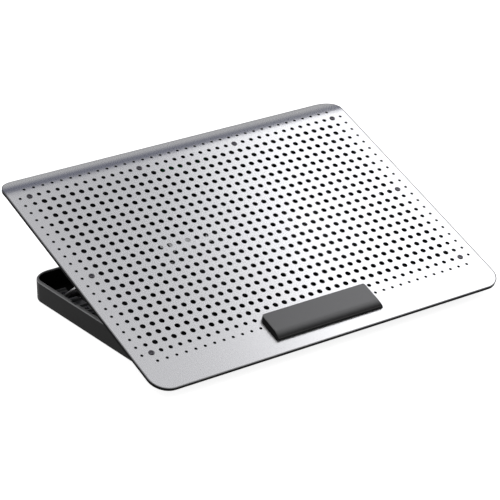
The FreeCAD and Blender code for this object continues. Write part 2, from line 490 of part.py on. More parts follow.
LEAD_R = 1.1
for side, sx, px in (("left", -1, -26.0), ("right", 1, 16.0)):
    y0 = FAN_Y + FAN_SIDE / 2.0 - 1.8
    gx = sx * 26.0
    pts = [V(sx * 40.0, y0, -9.0), V(sx * 40.0, 217.0, -9.0), V(gx, 217.0, -9.0)]
    if abs(gx - px) < 0.1:
        pts += [V(gx, 243.4, -9.0)]
    else:
        pts += [V(gx, 233.0, -9.0), V(px, 233.0, -9.0), V(px, 243.4, -9.0)]
    save("fan_lead_%s" % side, tube(pts, LEAD_R), DECK)
save("lead_plugs", group([box(x - 2.6, x + 2.6, 243.4, 247.4 if x < 0 else 245.9, BOARD_TOP, BOARD_TOP + 4.2) for x in (-26.0, 16.0)]), DECK)

# ---------------------------------------------------------------- legs: bracket, pin, arm, foot
brk, pins, bscr = [], [], []
for sx in (-1, 1):
    x = sx * LEG_X
    web = box(x - 4.4, x + 4.4, 136.0, 149.4, FRAME_BOT - 1.5, FRAME_BOT)
    ears = []
    for ex in (-1, 1):
        xa = x + ex * 2.8
        xb = x + ex * 4.4
        lo, hi = min(xa, xb), max(xa, xb)
        e = prism_x([(136.0, FRAME_BOT), (160.5, FRAME_BOT), (158.7, LEG_Z - 1.0), (150.3, LEG_Z - 1.0)], lo, hi)
        ears.append(e.fuse(cyl_x(lo, hi, LEG_Y, LEG_Z, 4.4)))
    b = web.fuse(ears)
    b = b.cut([cyl_x(x - 6, x + 6, LEG_Y, LEG_Z, LEG_PIN_R + RUN_FIT)]
              + [cyl_z(FRAME_BOT - 3, FRAME_BOT + 1, xx, yy, 1.4) for xx, yy in BRK_SCREW if xx * sx > 0])
    brk.append(b.removeSplitter())
    pin = cyl_x(x - 4.9, x + 4.9, LEG_Y, LEG_Z, LEG_PIN_R)
    o0, o1 = (x + 4.5, x + 5.4) if sx > 0 else (x - 5.4, x - 4.5)
    pin = pin.fuse(cyl_x(o0, o1, LEG_Y, LEG_Z, 2.4))
    pins.append(pin.removeSplitter())
for x, y in BRK_SCREW:
    bscr.append(screw_z(x, y, FRAME_BOT - 1.5, 2.3, 1.1, 1.2, 3.3, up=-1))
save("leg_brackets", group(brk), DECK)
save("leg_pins", group(pins), DECK)
save("bracket_screws", group(bscr), DECK)

PY, PZ = LEG_Y * c - LEG_Z * s, FRONT_H + LEG_Y * s + LEG_Z * c     # leg pivot in desk coordinates
dy, dz = FOOT_Y - PY, FOOT_Z - PZ
LEG_L = sqrt(dy * dy + dz * dz)
ly, lz = dy / LEG_L, dz / LEG_L

for side, sx in (("left", -1), ("right", 1)):
    x = sx * LEG_X
    d_arm = V(0, ly, lz)
    d_in = V(-sx, 0, 0)
    corner = V(x, FOOT_Y, FOOT_Z)
    rb = 4.5                                        # centreline radius of the bend
    b0 = corner - d_arm * rb
    b1 = corner + d_in * rb
    cen = corner - d_arm * rb + d_in * rb
    mid = cen + (corner - cen).normalize() * rb
    start = V(x, PY, PZ) + d_arm * 2.0
    tip = V(sx * FOOT_IN, FOOT_Y, FOOT_Z)
    path = Part.Wire([Part.LineSegment(start, b0).toShape(), Part.Arc(b0, mid, b1).toShape(), Part.LineSegment(b1, tip).toShape()])
    rod = path.makePipeShell([Part.Wire([Part.Circle(start, d_arm, ROD_R).toShape()])], True, True)
    eye = cyl_x(x - 2.5, x + 2.5, PY, PZ, 4.0)
    neck = Part.makeCone(3.2, ROD_R, 8.0, V(x, PY, PZ) + d_arm * 2.5, d_arm)
    neck = neck.common(Part.makeBox(5.0, 60, 60, V(x - 2.5, PY - 30, PZ - 30)))
    arm = eye.fuse([rod, neck])
    arm = arm.cut(cyl_x(x - 4, x + 4, PY, PZ, LEG_PIN_R + RUN_FIT))
    save("leg_%s" % side, arm.removeSplitter(), BASE)
    # rubber sleeve on the foot bar, with two grip grooves
    s0, s1 = sorted((sx * (FOOT_IN - 0.8), sx * (LEG_X - 5.2)))
    sleeve = cyl_x(s0, s1, FOOT_Y, FOOT_Z, SLEEVE_R)
    sleeve = sleeve.cut(cyl_x(min(s0, s1) if sx < 0 else s0 + 0.8, s1 - 0.8 if sx < 0 else s1, FOOT_Y, FOOT_Z, ROD_R))
    for g in (0.35, 0.65):
        gx = s0 + (s1 - s0) * g
        ring = cyl_x(gx - 0.5, gx + 0.5, FOOT_Y, FOOT_Z, SLEEVE_R + 1).cut(cyl_x(gx - 0.6, gx + 0.6, FOOT_Y, FOOT_Z, SLEEVE_R - 0.25))
        sleeve = sleeve.cut(ring)
    save("leg_%s_foot" % side, sleeve.removeSplitter(), BASE)

# ---------------------------------------------------------------- base tray
HY, HZ = HINGE_Y * c - HINGE_Z * s, FRONT_H + HINGE_Y * s + HINGE_Z * c
tray = plate(rounded_wire(-TRAY_X, TRAY_X, TRAY_Y0, TRAY_Y1, 14, 22), [], TRAY_BOT, TRAY_RIM)
rim_edges = [e for e in tray.Edges if abs(e.BoundBox.ZMin - TRAY_RIM) < 1e-6 and abs(e.BoundBox.ZMax - TRAY_RIM) < 1e-6]
tray = tray.makeFillet(1.3, rim_edges)
bot_edges = [e for e in tray.Edges if abs(e.BoundBox.ZMin - TRAY_BOT) < 1e-6 and abs(e.BoundBox.ZMax - TRAY_BOT) < 1e-6]
tray = tray.makeFillet(0.9, bot_edges)
cav = plate(rounded_wire(-TRAY_X + TRAY_WALL, TRAY_X - TRAY_WALL, TRAY_Y0 + TRAY_WALL, TRAY_Y1 - TRAY_WALL, 11, 17), [], FLOOR_Z, TRAY_RIM + 5)
tools = [cav]
# front wall drops below the deck hinge
tools.append(prism_x([(0, 15.5), (29.0, 15.5), (43.0, 21.9), (43.0, 40), (0, 40)], -200, 200))
# rear cut-out for the socket box
tools.append(plate(rounded_wire(-43.0, 43.0, 250.0, 262.0, 0, 0), [], FLOOR_Z, 40))
# finger notch in the left rim
tools.append(prism_x([(173.5, 30), (173.5, 20.6), (174.5, 19.9), (182.5, 19.9), (183.5, 20.6), (183.5, 30)], -163.9, -150))
tray = tray.cut(tools)
# floor slots
slots = []
for i in range(6):
    for sx in (-1, 1):
        x = sx * (9.75 + 19.5 * i)
        for y0, y1 in ((58.0, 139.5), (147.5, 229.0)):
            slots.append(plate(rounded_wire(x - 6.2, x + 6.2, y0, y1, 3.0, 3.0), [], TRAY_BOT - 1, FLOOR_Z + 1))
tray = tray.cut(Part.makeCompound(slots))
# hinge knuckles, floor ribs and bosses
adds = []
for sx in (-1, 1):
    for x0, x1 in ((sx * 150 - 9.6, sx * 150 - 4.0), (sx * 150 + 4.0, sx * 150 + 9.6)):
        adds.append(prism_x([(HY - 4.2, FLOOR_Z - 0.5), (HY - 4.2, HZ), (HY + 4.2, HZ), (HY + 4.2, FLOOR_Z - 0.5)], x0, x1).fuse(cyl_x(x0, x1, HY, HZ, 4.2)))
    adds.append(box(sx * 158.8 - 0.7, sx * 158.8 + 0.7, 60, 235, FLOOR_Z - 0.5, FLOOR_Z + 3.0))
    adds.append(box(min(sx * 60, sx * 118), max(sx * 60, sx * 118), 247.5, 249.0, FLOOR_Z - 0.5, FLOOR_Z + 3.0))
    # low pad beside the slots
    adds.append(cyl_z(FLOOR_Z - 0.5, FLOOR_Z + 0.7, sx * 126.0, 206.0, 3.0))
adds.append(box(-138, 138, 47.0, 48.4, FLOOR_Z - 0.5, FLOOR_Z + 0.8))
tray = tray.fuse(adds)
RACK_X0, RACK_X1 = 134.0, 146.0
RACK_SCREW = [(sx * 140.0, y) for sx in (-1, 1) for y in (194.2, 234.8)]
tray = tray.cut([cyl_x(-165.1 + 3.2, 165.1 - 3.2, HY, HZ, HINGE_PIN_R + RUN_FIT)]
                + [cyl_z(TRAY_BOT - 1, FLOOR_Z + 1, x, y, 1.05) for x, y in RACK_SCREW])
# shallow recesses for the rubber feet
FEET = [(-147.5, 45.0), (147.5, 45.0), (-128.0, 244.0), (128.0, 244.0)]
tray = tray.cut([cyl_z(TRAY_BOT - 0.1, TRAY_BOT + 0.6, x, y, 7.1) for x, y in FEET])
save("base_tray", tray.removeSplitter(), BASE)

feet = []
for x, y in FEET:
    f = cyl_z(0.0, TRAY_BOT + 0.6, x, y, 7.0)
    f = f.makeFillet(0.5, [e for e in f.Edges if abs(e.BoundBox.ZMax) < 1e-6])
    feet.append(f)
save("base_feet", group(feet), BASE)

hp = []
for sx in (-1, 1):
    pin = cyl_x(sx * 150 - 10.4, sx * 150 + 10.4, HY, HZ, HINGE_PIN_R)
    h0, h1 = (sx * 150 - 11.0, sx * 150 - 9.8) if sx > 0 else (sx * 150 + 9.8, sx * 150 + 11.0)
    hp.append(pin.fuse(cyl_x(h0, h1, HY, HZ, 3.2)).removeSplitter())
save("hinge_pins", group(hp), BASE)

TOOTH_PITCH, TOOTH_Y0, TOOTH_N = 13.5, 187.5, 5
for side, sx in (("left", -1), ("right", 1)):
    x0, x1 = sorted((sx * RACK_X0, sx * RACK_X1))
    base_z, top_z = FLOOR_Z + 0.9, FLOOR_Z + 2.5
    pts = [(183.0, FLOOR_Z), (246.0, FLOOR_Z), (246.0, base_z)]
    for i in reversed(range(TOOTH_N)):
        y = TOOTH_Y0 + TOOTH_PITCH * i
        pts += [(y + 2.6, base_z), (y + 1.2, top_z), (y - 0.6, top_z), (y - 1.6, base_z)]
    pts += [(183.0, base_z)]
    rack = prism_x(pts, x0, x1)
    # upright cheek along the outer side, and rounded corners
    c0, c1 = sorted((sx * (RACK_X1 - 1.4), sx * RACK_X1))
    rack = rack.fuse(box(c0, c1, 183.0, 246.0, FLOOR_Z, top_z))
    rack = rack.common(plate(rounded_wire(x0, x1, 183.0, 246.0, 2.5, 2.5), [], FLOOR_Z, FLOOR_Z + 9))
    rack = rack.cut([cyl_z(FLOOR_Z - 1, FLOOR_Z + 4, xx, yq, 1.15) for xx, yq in RACK_SCREW if xx * sx > 0])
    save("rack_%s" % side, rack.removeSplitter(), BASE)
save("rack_screws", group([screw_z(x, y, FLOOR_Z + 0.9, 2.2, 0.9, 1.0, 2.4, up=1) for x, y in RACK_SCREW]), BASE)

print("CY %.4f  hinge Y %.4f Z %.4f  leg pivot Y %.4f Z %.4f  leg length %.3f" % (CY, HY - CY, HZ, PY - CY, PZ, LEG_L))
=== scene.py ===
import bpy, bmesh, json, math, random
from mathutils import Vector, Matrix


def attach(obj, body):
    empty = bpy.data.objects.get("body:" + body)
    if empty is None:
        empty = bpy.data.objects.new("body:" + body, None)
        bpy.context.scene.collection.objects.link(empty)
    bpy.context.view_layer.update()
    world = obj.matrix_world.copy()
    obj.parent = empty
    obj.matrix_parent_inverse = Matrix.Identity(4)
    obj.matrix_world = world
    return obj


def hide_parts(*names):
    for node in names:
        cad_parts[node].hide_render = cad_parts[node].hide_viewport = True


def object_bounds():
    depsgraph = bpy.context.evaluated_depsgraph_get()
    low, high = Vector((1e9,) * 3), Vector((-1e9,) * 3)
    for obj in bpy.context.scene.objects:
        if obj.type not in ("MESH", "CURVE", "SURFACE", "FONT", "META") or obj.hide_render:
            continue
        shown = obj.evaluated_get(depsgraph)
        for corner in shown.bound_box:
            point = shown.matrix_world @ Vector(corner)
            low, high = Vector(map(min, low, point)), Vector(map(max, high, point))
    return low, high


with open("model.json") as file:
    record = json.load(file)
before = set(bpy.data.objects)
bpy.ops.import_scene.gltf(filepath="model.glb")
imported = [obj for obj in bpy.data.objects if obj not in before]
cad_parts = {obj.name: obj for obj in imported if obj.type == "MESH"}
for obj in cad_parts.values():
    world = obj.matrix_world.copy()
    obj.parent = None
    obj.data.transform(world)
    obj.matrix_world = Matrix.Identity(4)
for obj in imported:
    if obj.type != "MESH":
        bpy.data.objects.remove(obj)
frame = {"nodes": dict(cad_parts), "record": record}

CAD_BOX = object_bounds()
sc = bpy.context.scene
rng = random.Random(7)

# the deck's own frame: hinge axis and the sheet's tilt, given here, with the offset CY taken as half the imported
# model's depth
TILT = math.radians(22.2145)
C, S = math.cos(TILT), math.sin(TILT)
lo, hi = CAD_BOX
CY = (hi.y - lo.y) / 2.0
FRONT_H = 0.0115


def deck(x, y, z=0.0):
    """A point given on the deck (mm: across, back along the sheet, up from its face), in the row frame (m)."""
    x, y, z = x / 1000.0, y / 1000.0, z / 1000.0
    return Vector((x, y * C - z * S - CY, FRONT_H + y * S + z * C))


DECK_M = Matrix.Translation(deck(0, 0, 0)) @ Matrix.Rotation(TILT, 4, "X")


# ------------------------------------------------------------------ materials
def new_mat(name):
    m = bpy.data.materials.new(name)
    m.use_nodes = True
    nt = m.node_tree
    b = nt.nodes["Principled BSDF"]
    return m, nt, b


def node(nt, kind, **kw):
    n = nt.nodes.new(kind)
    for k, v in kw.items():
        if k in n.inputs:
            n.inputs[k].default_value = v
        else:
            setattr(n, k, v)
    return n


def plastic(name, color, rough=0.45, grain=900.0, bump=0.12, vary=0.10, spec=0.5, coat=0.0):
    """Moulded plastic: fine texture in the bump, slow change in tone and gloss."""
    m, nt, b = new_mat(name)
    L = nt.links
    tc = node(nt, "ShaderNodeTexCoord")
    n1 = node(nt, "ShaderNodeTexNoise", Scale=grain, Detail=3.0, Roughness=0.6)
    n2 = node(nt, "ShaderNodeTexNoise", Scale=22.0, Detail=4.0, Roughness=0.55)
    L.new(tc.outputs["Object"], n1.inputs["Vector"])
    L.new(tc.outputs["Object"], n2.inputs["Vector"])
    ramp = node(nt, "ShaderNodeMapRange")
    ramp.inputs["From Min"].default_value = 0.3
    ramp.inputs["From Max"].default_value = 0.7
    ramp.inputs["To Min"].default_value = 1.0 - vary
    ramp.inputs["To Max"].default_value = 1.0 + vary
    L.new(n2.outputs["Fac"], ramp.inputs["Value"])
    mul = node(nt, "ShaderNodeVectorMath", operation="SCALE")
    mul.inputs[0].default_value = color[:3]
    L.new(ramp.outputs["Result"], mul.inputs["Scale"])
    L.new(mul.outputs["Vector"], b.inputs["Base Color"])
    rr = node(nt, "ShaderNodeMapRange")
    rr.inputs["From Min"].default_value = 0.25
    rr.inputs["From Max"].default_value = 0.75
    rr.inputs["To Min"].default_value = max(0.05, rough - 0.06)
    rr.inputs["To Max"].default_value = min(1.0, rough + 0.06)
    L.new(n2.outputs["Fac"], rr.inputs["Value"])
    L.new(rr.outputs["Result"], b.inputs["Roughness"])
    bp = node(nt, "ShaderNodeBump", Strength=bump, Distance=0.0002)
    L.new(n1.outputs["Fac"], bp.inputs["Height"])
    L.new(bp.outputs["Normal"], b.inputs["Normal"])
    b.inputs["Specular IOR Level"].default_value = spec
    if coat:
        b.inputs["Coat Weight"].default_value = coat
        b.inputs["Coat Roughness"].default_value = 0.25
    return m


def metal(name, color, rough=0.35, grain=1500.0, bump=0.15, vary=0.04, stretch=(1, 1, 1), rv=0.12):
    """Metal with a fine surface grain."""
    m, nt, b = new_mat(name)
    L = nt.links
    tc = node(nt, "ShaderNodeTexCoord")
    mp = node(nt, "ShaderNodeMapping")
    mp.inputs["Scale"].default_value = stretch
    L.new(tc.outputs["Object"], mp.inputs["Vector"])
    n1 = node(nt, "ShaderNodeTexNoise", Scale=grain, Detail=4.0, Roughness=0.7)
    n2 = node(nt, "ShaderNodeTexNoise", Scale=9.0, Detail=3.0, Roughness=0.5)
    L.new(mp.outputs["Vector"], n1.inputs["Vector"])
    L.new(tc.outputs["Object"], n2.inputs["Vector"])
    ramp = node(nt, "ShaderNodeMapRange")
    ramp.inputs["From Min"].default_value = 0.3
    ramp.inputs["From Max"].default_value = 0.7
    ramp.inputs["To Min"].default_value = 1.0 - vary
    ramp.inputs["To Max"].default_value = 1.0
    mixf = node(nt, "ShaderNodeMath", operation="ADD")
    h = node(nt, "ShaderNodeMath", operation="MULTIPLY")
    h.inputs[1].default_value = 0.5
    h2 = node(nt, "ShaderNodeMath", operation="MULTIPLY")
    h2.inputs[1].default_value = 0.5
    L.new(n1.outputs["Fac"], h.inputs[0])
    L.new(n2.outputs["Fac"], h2.inputs[0])
    L.new(h.outputs[0], mixf.inputs[0])
    L.new(h2.outputs[0], mixf.inputs[1])
    L.new(mixf.outputs[0], ramp.inputs["Value"])
    mul = node(nt, "ShaderNodeVectorMath", operation="SCALE")
    mul.inputs[0].default_value = color[:3]
    L.new(ramp.outputs["Result"], mul.inputs["Scale"])
    L.new(mul.outputs["Vector"], b.inputs["Base Color"])
    b.inputs["Metallic"].default_value = 1.0
    rr = node(nt, "ShaderNodeMapRange")
    rr.inputs["From Min"].default_value = 0.3
    rr.inputs["From Max"].default_value = 0.7
    rr.inputs["To Min"].default_value = rough * (1.0 - rv)
    rr.inputs["To Max"].default_value = rough * (1.0 + rv)
    L.new(n1.outputs["Fac"], rr.inputs["Value"])
    L.new(rr.outputs["Result"], b.inputs["Roughness"])
    bp = node(nt, "ShaderNodeBump", Strength=bump, Distance=0.0001)
    L.new(n1.outputs["Fac"], bp.inputs["Height"])
    L.new(bp.outputs["Normal"], b.inputs["Normal"])
    return m


def tint_by(m, kind, vec, lo, hi, dark):
    """Scale the base colour from dark (at lo) to 1 (at hi) along a fixed direction of the piece; used to paint shade
    and highlights into the colour.
    kind "Normal": faces turned away from the direction, such as hole walls, cut edges and recesses; kind "Object":
    position in metres."""
    nt = m.node_tree
    b = nt.nodes["Principled BSDF"]
    src = b.inputs["Base Color"].links[0].from_socket
    tc_ = node(nt, "ShaderNodeTexCoord")
    d_ = node(nt, "ShaderNodeVectorMath", operation="DOT_PRODUCT")
    d_.inputs[1].default_value = vec
    nt.links.new(tc_.outputs[kind], d_.inputs[0])
    mr = node(nt, "ShaderNodeMapRange")
    mr.interpolation_type = "SMOOTHSTEP"
    mr.inputs["From Min"].default_value = lo
    mr.inputs["From Max"].default_value = hi
    mr.inputs["To Min"].default_value = dark
    mr.inputs["To Max"].default_value = 1.0
    nt.links.new(d_.outputs["Value"], mr.inputs["Value"])
    s_ = node(nt, "ShaderNodeVectorMath", operation="SCALE")
    nt.links.new(src, s_.inputs[0])
    nt.links.new(mr.outputs["Result"], s_.inputs["Scale"])
    nt.links.new(s_.outputs["Vector"], b.inputs["Base Color"])


def satin_paint(name, color, rough, metallic):
    """Satin metallic paint: part metal flake, part plain colour, with a very fine grain."""
    m = metal(name, color, rough, 2600.0, 0.05, 0.03)
    m.node_tree.nodes["Principled BSDF"].inputs["Metallic"].default_value = metallic
    m.node_tree.nodes["Principled BSDF"].inputs["Specular IOR Level"].default_value = 0.2
    return m


M = {
    "panel_aluminium": metal("panel_aluminium", (0.90, 0.90, 0.915), 0.275, 1600.0, 0.035, 0.012, rv=0.03),
    "frame_plastic": plastic("frame_plastic", (0.0035, 0.0035, 0.0038), 0.70, spec=0.04),
    # tray_plastic's light grey is a painted highlight on the rim's top; tint_by further down darkens the rest of the
    # tray to its dark tone
    "tray_plastic": plastic("tray_plastic", (0.26, 0.26, 0.264), 0.42, 420.0, 0.14, 0.10, spec=0.045),
    "bar_plastic": satin_paint("bar_plastic", (0.185, 0.185, 0.187), 0.40, 0.80),
    "skirt_plastic": plastic("skirt_plastic", (0.006, 0.006, 0.0065), 0.6, 500.0, 0.08, 0.05, spec=0.10),
    "cover_plastic": plastic("cover_plastic", (0.010, 0.010, 0.0108), 0.5, spec=0.2),
    "fan_plastic": plastic("fan_plastic", (0.014, 0.014, 0.015), 0.38, spec=0.4),
    "stator_plastic": plastic("stator_plastic", (0.018, 0.018, 0.018), 0.5),
    "steel": metal("steel", (0.56, 0.56, 0.57), 0.30, 900.0, 0.10, 0.08),
    "dark_screw": metal("dark_screw", (0.165, 0.158, 0.178), 0.34, 900.0, 0.10, 0.10),
    "board_green": plastic("board_green", (0.010, 0.16, 0.06), 0.32, 250.0, 0.10, 0.25, coat=0.4),
    "chip_black": plastic("chip_black", (0.015, 0.015, 0.015), 0.5),
    "tongue_white": plastic("tongue_white", (0.72, 0.72, 0.70), 0.45),
    "plug_white": plastic("plug_white", (0.66, 0.64, 0.58), 0.45),
    "cable_black": plastic("cable_black", (0.012, 0.012, 0.012), 0.55),
    "leg_steel": metal("leg_steel", (0.86, 0.86, 0.87), 0.42, 900.0, 0.10, 0.06),
    "foot_rubber": plastic("foot_rubber", (0.014, 0.014, 0.014), 0.75, 500.0, 0.25),
    "rack_plastic": plastic("rack_plastic", (0.10, 0.10, 0.104), 0.38, spec=0.5),
    "magnet": metal("magnet", (0.10, 0.10, 0.10), 0.55, 600.0, 0.3, 0.2),
    "knob_plastic": plastic("knob_plastic", (0.05, 0.05, 0.05), 0.42),
}
TS, TC = math.sin(math.radians(22.2145)), math.cos(math.radians(22.2145))
# painted shade: the sheet's colour darkens on every face turned away from its top face, so on hole walls, cut edges and
# the underside, and slightly towards the end of the rolled rear edge
tint_by(M["panel_aluminium"], "Normal", (0.0, -TS, TC), 0.60, 0.92, 0.006)
NOSE = FRONT_H * TS - CY * TC          # the deck y of the origin, negated


def painted_edge_shade(m, half_w, length, corner, width, dark_left, dark_right):
    """Painted shade: darken a hairline of the given width just inside the sheet's rounded outline (metres), graded
    across the sheet from dark_left to dark_right.
    """
    nt = m.node_tree
    b = nt.nodes["Principled BSDF"]
    src = b.inputs["Base Color"].links[0].from_socket
    tc_ = node(nt, "ShaderNodeTexCoord")
    xyz = node(nt, "ShaderNodeCombineXYZ")
    for i, (axis, mid, half) in enumerate((((1.0, 0.0, 0.0), 0.0, half_w), ((0.0, TC, TS), NOSE + length / 2, length / 2))):
        d_ = node(nt, "ShaderNodeVectorMath", operation="DOT_PRODUCT")
        d_.inputs[1].default_value = axis
        nt.links.new(tc_.outputs["Object"], d_.inputs[0])
        off = node(nt, "ShaderNodeMath", operation="SUBTRACT")
        off.inputs[1].default_value = mid
        nt.links.new(d_.outputs["Value"], off.inputs[0])
        ab = node(nt, "ShaderNodeMath", operation="ABSOLUTE")
        nt.links.new(off.outputs[0], ab.inputs[0])
        q = node(nt, "ShaderNodeMath", operation="SUBTRACT")
        q.inputs[1].default_value = half - corner
        nt.links.new(ab.outputs[0], q.inputs[0])
        mx_ = node(nt, "ShaderNodeMath", operation="MAXIMUM")
        mx_.inputs[1].default_value = 0.0
        nt.links.new(q.outputs[0], mx_.inputs[0])
        nt.links.new(mx_.outputs[0], xyz.inputs[i])
    ln = node(nt, "ShaderNodeVectorMath", operation="LENGTH")
    nt.links.new(xyz.outputs[0], ln.inputs[0])
    mr = node(nt, "ShaderNodeMapRange")
    mr.interpolation_type = "SMOOTHSTEP"
    mr.inputs["From Min"].default_value = corner - width * 1.15
    mr.inputs["From Max"].default_value = corner - width * 0.85
    mr.inputs["To Min"].default_value = 1.0
    sx_ = node(nt, "ShaderNodeSeparateXYZ")
    nt.links.new(tc_.outputs["Object"], sx_.inputs[0])
    grade = node(nt, "ShaderNodeMapRange")
    grade.inputs["From Min"].default_value = -half_w
    grade.inputs["From Max"].default_value = half_w
    grade.inputs["To Min"].default_value = dark_left
    grade.inputs["To Max"].default_value = dark_right
    nt.links.new(sx_.outputs["X"], grade.inputs["Value"])
    nt.links.new(grade.outputs["Result"], mr.inputs["To Max"])
    nt.links.new(ln.outputs["Value"], mr.inputs["Value"])
    s_ = node(nt, "ShaderNodeVectorMath", operation="SCALE")
    nt.links.new(src, s_.inputs[0])
    nt.links.new(mr.outputs["Result"], s_.inputs["Scale"])
    nt.links.new(s_.outputs["Vector"], b.inputs["Base Color"])


# painted shade: a dark hairline along the sheet's outline, darker towards the right side
painted_edge_shade(M["panel_aluminium"], 0.190, 0.2595 + 0.050 * math.sin(math.radians(29.0)), 0.018, 0.0009, 0.42, 0.08)
# painted shade: the stopper bar darkens towards its front nose, from full tone 24 mm back from the sheet's front down
# to 0.22 of it at 14.5 mm
tint_by(M["bar_plastic"], "Object", (0.0, TC, TS), 0.0145 + NOSE, 0.0240 + NOSE, 0.22)
# painted shade: the screw heads darken on every face turned away from the sheet's face, in their recesses and round
# their rims
tint_by(M["dark_screw"], "Normal", (0.0, -TS, TC), 0.70, 0.995, 0.08)
# painted highlight: only the top of the tray's rim, above Z 20.9 mm, keeps the light grey; below Z 20 mm the tray is
# darkened to 0.022 of it
tint_by(M["tray_plastic"], "Object", (0.0, 0.0, 1.0), 0.0200, 0.0209, 0.022)
SLOT = {e["node"]: e["material_slot"] for e in frame["record"]["subparts"]}


def paint(o, mat):
    o.data.materials.clear()
    o.data.materials.append(mat)
    for p in o.data.polygons:
        p.material_index = 0


for n, o in frame["nodes"].items():
    paint(o, M[SLOT[n]])


# ------------------------------------------------------------------ pieces that stand for CAD nodes
BODY = {n: b for b, ns in frame["record"]["behaviour"]["bodies"].items() for n in ns}


def link(name, me, mat, body):
    o = bpy.data.objects.new(name, me)
    sc.collection.objects.link(o)
    me.materials.clear()
    me.materials.append(mat)
    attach(o, body)
    return o


def finish_mesh(bm, name, sharp=38.0):
    """Smooth shading with real creases kept sharp."""
    bm.normal_update()
    lim = math.radians(sharp)
    for f in bm.faces:
        f.smooth = True
    for e in bm.edges:
        e.smooth = not (len(e.link_faces) == 2 and e.calc_face_angle(0.0) > lim)
    me = bpy.data.meshes.new(name)
    bm.to_mesh(me)
    bm.free()
    return me


def rework(name, width_mm, segs=2, min_angle=32.0, sharp=38.0, mat=None):
    """A copy of a CAD node with its moulded edges rounded."""
    src = frame["nodes"][name]
    bm = bmesh.new()
    bm.from_mesh(src.data)
    bmesh.ops.remove_doubles(bm, verts=bm.verts, dist=2e-6)
    bmesh.ops.dissolve_limit(bm, angle_limit=math.radians(0.6), verts=bm.verts, edges=bm.edges)
    bm.normal_update()
    if width_mm:
        lim = math.radians(min_angle)
        es = [e for e in bm.edges if len(e.link_faces) == 2 and e.calc_face_angle(0.0) > lim and e.calc_length() > 1e-5]
        bmesh.ops.bevel(bm, geom=es, offset=width_mm / 1000.0, offset_type="OFFSET", segments=segs, profile=0.5, affect="EDGES", clamp_overlap=True, miter_outer="ARC")
        bmesh.ops.remove_doubles(bm, verts=bm.verts, dist=1e-6)
    bmesh.ops.triangulate(bm, faces=[f for f in bm.faces if len(f.verts) > 4])
    me = finish_mesh(bm, "v_" + name, sharp)
    o = link("v_" + name, me, mat or M[SLOT[name]], BODY[name])
    wn = o.modifiers.new("wn", "WEIGHTED_NORMAL")
    wn.keep_sharp = True
    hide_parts(name)
    return o


